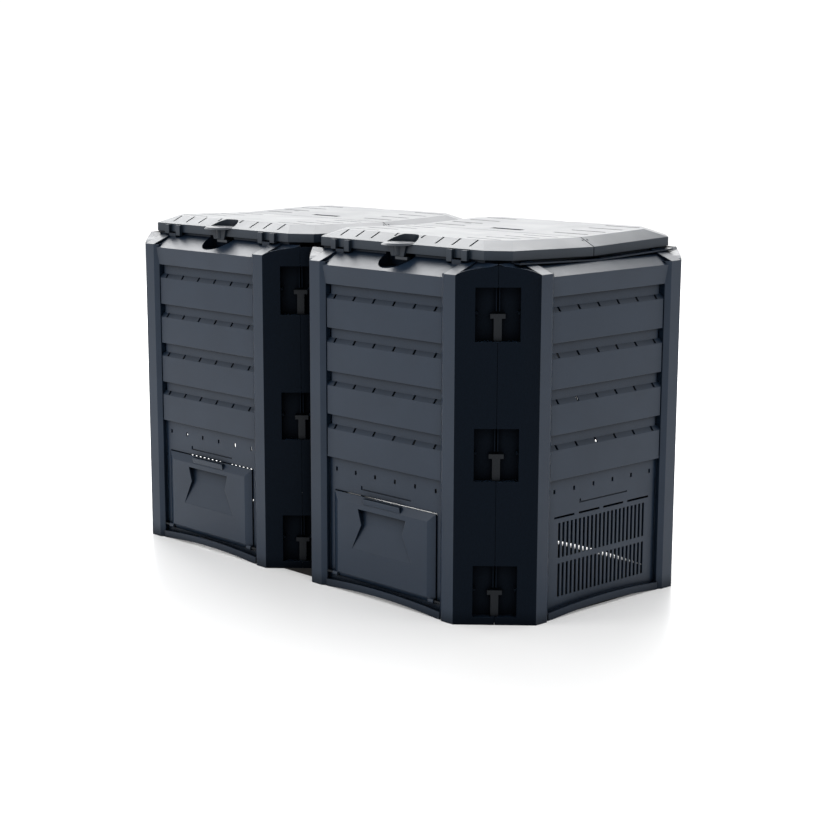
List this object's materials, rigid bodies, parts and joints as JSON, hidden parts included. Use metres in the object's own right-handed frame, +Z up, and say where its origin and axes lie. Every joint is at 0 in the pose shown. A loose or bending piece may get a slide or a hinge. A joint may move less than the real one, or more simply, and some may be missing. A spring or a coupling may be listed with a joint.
{
  "type": "compost bin",
  "caption": "Two-module garden compost bin with clipped slatted wall panels, split hinged lids with dial locks, and tilt-out bottom hatches",
  "frame": {"origin": "on the ground at the middle of the footprint", "axes": "+X along the two modules, to the right seen from the hatches, +Y towards the back, +Z up"},
  "size_m": [1.354, 0.719, 0.8239],
  "materials": {
    "panel_plastic": "satin moulded anthracite, fine stipple on the wings",
    "hatch_plastic": "satin moulded anthracite",
    "lid_plastic": "satin moulded anthracite",
    "lock_plastic": "satin moulded anthracite",
    "clip_plastic": "moulded black",
    "joint_plastic": "satin moulded anthracite",
    "pin_steel": "drawn steel rod"
  },
  "bodies": {
    "root": {"back_panel_left": "panel_plastic", "back_panel_right": "panel_plastic", "bridge": "joint_plastic", "clips_back_left": "clip_plastic", "clips_back_middle_left": "clip_plastic", "clips_back_middle_right": "clip_plastic", "clips_back_right": "clip_plastic", "clips_front_left": "clip_plastic", "clips_front_middle_left": "clip_plastic", "clips_front_middle_right": "clip_plastic", "clips_front_right": "clip_plastic", "crossbar_left": "joint_plastic", "crossbar_right": "joint_plastic", "end_panel_left": "panel_plastic", "end_panel_right": "panel_plastic", "front_panel_left": "panel_plastic", "front_panel_right": "panel_plastic", "hatch_pins_left": "clip_plastic", "hatch_pins_right": "clip_plastic", "joint_strip_back": "joint_plastic", "joint_strip_front": "joint_plastic", "lid_pin_front_left": "pin_steel", "lid_pin_front_right": "pin_steel", "lid_pin_rear_left": "pin_steel", "lid_pin_rear_right": "pin_steel"},
    "lid_front_left_body": {"lid_front_left": "lid_plastic"},
    "lock_front_left_body": {"dial_front_left": "lock_plastic", "cam_front_left": "lock_plastic"},
    "lid_rear_left_body": {"lid_rear_left": "lid_plastic"},
    "lock_rear_left_body": {"dial_rear_left": "lock_plastic", "cam_rear_left": "lock_plastic"},
    "hatch_left_body": {"hatch_left": "hatch_plastic"},
    "lid_front_right_body": {"lid_front_right": "lid_plastic"},
    "lock_front_right_body": {"dial_front_right": "lock_plastic", "cam_front_right": "lock_plastic"},
    "lid_rear_right_body": {"lid_rear_right": "lid_plastic"},
    "lock_rear_right_body": {"dial_rear_right": "lock_plastic", "cam_rear_right": "lock_plastic"},
    "hatch_right_body": {"hatch_right": "hatch_plastic"}
  },
  "joints": [
    {"name": "lid_front_left_hinge", "type": "hinge", "parent": "root", "child": "lid_front_left_body", "pos_m": [-0.3175, -0.008, 0.8105], "axis": [-1, 0, 0], "range_deg": [0, 80]},
    {"name": "lock_front_left_turn", "type": "hinge", "parent": "lid_front_left_body", "child": "lock_front_left_body", "pos_m": [-0.3175, -0.298, 0.8033], "axis": [0, 0, 1], "range_deg": [0, 90]},
    {"name": "lid_rear_left_hinge", "type": "hinge", "parent": "root", "child": "lid_rear_left_body", "pos_m": [-0.3175, 0.008, 0.8105], "axis": [1, 0, 0], "range_deg": [0, 80]},
    {"name": "lock_rear_left_turn", "type": "hinge", "parent": "lid_rear_left_body", "child": "lock_rear_left_body", "pos_m": [-0.3175, 0.298, 0.8033], "axis": [0, 0, 1], "range_deg": [0, 90]},
    {"name": "hatch_left_hinge", "type": "hinge", "parent": "root", "child": "hatch_left_body", "pos_m": [-0.3175, -0.3485, 0.036], "axis": [1, 0, 0], "range_deg": [0, 85]},
    {"name": "lid_front_right_hinge", "type": "hinge", "parent": "root", "child": "lid_front_right_body", "pos_m": [0.3175, -0.008, 0.8105], "axis": [-1, 0, 0], "range_deg": [0, 80]},
    {"name": "lock_front_right_turn", "type": "hinge", "parent": "lid_front_right_body", "child": "lock_front_right_body", "pos_m": [0.3175, -0.298, 0.8033], "axis": [0, 0, 1], "range_deg": [0, 90]},
    {"name": "lid_rear_right_hinge", "type": "hinge", "parent": "root", "child": "lid_rear_right_body", "pos_m": [0.3175, 0.008, 0.8105], "axis": [1, 0, 0], "range_deg": [0, 80]},
    {"name": "lock_rear_right_turn", "type": "hinge", "parent": "lid_rear_right_body", "child": "lock_rear_right_body", "pos_m": [0.3175, 0.298, 0.8033], "axis": [0, 0, 1], "range_deg": [0, 90]},
    {"name": "hatch_right_hinge", "type": "hinge", "parent": "root", "child": "hatch_right_body", "pos_m": [0.3175, -0.3485, 0.036], "axis": [1, 0, 0], "range_deg": [0, 85]}
  ]
}
